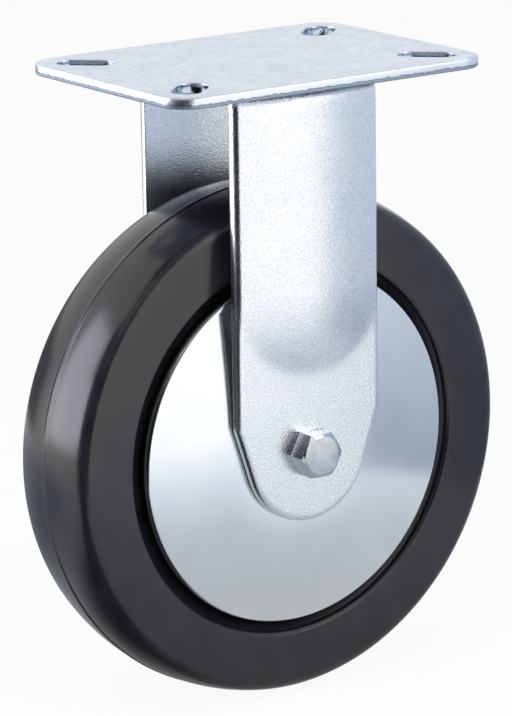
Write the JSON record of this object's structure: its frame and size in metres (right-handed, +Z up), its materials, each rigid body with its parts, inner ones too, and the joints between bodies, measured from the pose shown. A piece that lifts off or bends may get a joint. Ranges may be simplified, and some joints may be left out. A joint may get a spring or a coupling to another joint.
{
  "type": "fixed castor",
  "caption": "Fixed castor: black rubber-tyred wheel with dished steel faces on a roller bearing, in a U-shaped zinc-plated fork under a flat slotted top plate.",
  "frame": {"origin": "centre of the top plate's upper face", "axes": "+X along the rolling direction and the plate's long side, +Y along the axle from the bolt head to the nut, +Z up out of the plate"},
  "size_m": [0.1524, 0.079, 0.1878],
  "materials": {
    "zinc_plate": "bright zinc plating, satin",
    "zinc_fork": "bright zinc plating, fine grain",
    "weld_metal": "zinc plated weld",
    "zinc_bolt": "zinc plating, smooth",
    "zinc_disc": "bright zinc plating, glossy",
    "bearing_steel": "ground steel",
    "tyre_rubber": "moulded black rubber, semi-matt",
    "core_plastic": "moulded black plastic",
    "nylon": "natural nylon"
  },
  "bodies": {
    "bracket": {"top_plate": "zinc_plate", "fork": "zinc_fork", "near_weld": "weld_metal", "far_weld": "weld_metal", "axle_bolt": "zinc_bolt", "lock_nut": "zinc_bolt", "nut_ring": "nylon", "inner_sleeve": "bearing_steel"},
    "wheel": {"tyre": "tyre_rubber", "wheel_core": "core_plastic", "hub_tube": "bearing_steel", "near_disc": "zinc_disc", "far_disc": "zinc_disc", "near_bearing_cap": "bearing_steel", "far_bearing_cap": "bearing_steel"},
    "cage": {"bearing_cage": "bearing_steel"},
    "roller_1_body": {"roller_1": "bearing_steel"},
    "roller_2_body": {"roller_2": "bearing_steel"},
    "roller_3_body": {"roller_3": "bearing_steel"},
    "roller_4_body": {"roller_4": "bearing_steel"},
    "roller_5_body": {"roller_5": "bearing_steel"},
    "roller_6_body": {"roller_6": "bearing_steel"},
    "roller_7_body": {"roller_7": "bearing_steel"},
    "roller_8_body": {"roller_8": "bearing_steel"}
  },
  "joints": [
    {"name": "wheel_spin", "type": "hinge", "parent": "bracket", "child": "wheel", "pos_m": [0, 0, -0.1116], "axis": [0, 1, 0], "continuous": true},
    {"name": "cage_turn", "type": "hinge", "parent": "bracket", "child": "cage", "pos_m": [0, 0, -0.1116], "axis": [0, 1, 0], "continuous": true},
    {"name": "roller_1_turn", "type": "hinge", "parent": "cage", "child": "roller_1_body", "pos_m": [0.0084, 0, -0.1116], "axis": [0, 1, 0], "continuous": true},
    {"name": "roller_2_turn", "type": "hinge", "parent": "cage", "child": "roller_2_body", "pos_m": [0.00594, 0, -0.10566], "axis": [0, 1, 0], "continuous": true},
    {"name": "roller_3_turn", "type": "hinge", "parent": "cage", "child": "roller_3_body", "pos_m": [0, 0, -0.1032], "axis": [0, 1, 0], "continuous": true},
    {"name": "roller_4_turn", "type": "hinge", "parent": "cage", "child": "roller_4_body", "pos_m": [-0.00594, 0, -0.10566], "axis": [0, 1, 0], "continuous": true},
    {"name": "roller_5_turn", "type": "hinge", "parent": "cage", "child": "roller_5_body", "pos_m": [-0.0084, 0, -0.1116], "axis": [0, 1, 0], "continuous": true},
    {"name": "roller_6_turn", "type": "hinge", "parent": "cage", "child": "roller_6_body", "pos_m": [-0.00594, 0, -0.11754], "axis": [0, 1, 0], "continuous": true},
    {"name": "roller_7_turn", "type": "hinge", "parent": "cage", "child": "roller_7_body", "pos_m": [0, 0, -0.12], "axis": [0, 1, 0], "continuous": true},
    {"name": "roller_8_turn", "type": "hinge", "parent": "cage", "child": "roller_8_body", "pos_m": [0.00594, 0, -0.11754], "axis": [0, 1, 0], "continuous": true}
  ],
  "couplings": [
    {"joint": "cage_turn", "follows": "wheel_spin", "ratio": 0.622},
    {"joint": "roller_1_turn", "follows": "wheel_spin", "ratio": 1.9749},
    {"joint": "roller_2_turn", "follows": "wheel_spin", "ratio": 1.9749},
    {"joint": "roller_3_turn", "follows": "wheel_spin", "ratio": 1.9749},
    {"joint": "roller_4_turn", "follows": "wheel_spin", "ratio": 1.9749},
    {"joint": "roller_5_turn", "follows": "wheel_spin", "ratio": 1.9749},
    {"joint": "roller_6_turn", "follows": "wheel_spin", "ratio": 1.9749},
    {"joint": "roller_7_turn", "follows": "wheel_spin", "ratio": 1.9749},
    {"joint": "roller_8_turn", "follows": "wheel_spin", "ratio": 1.9749}
  ]
}
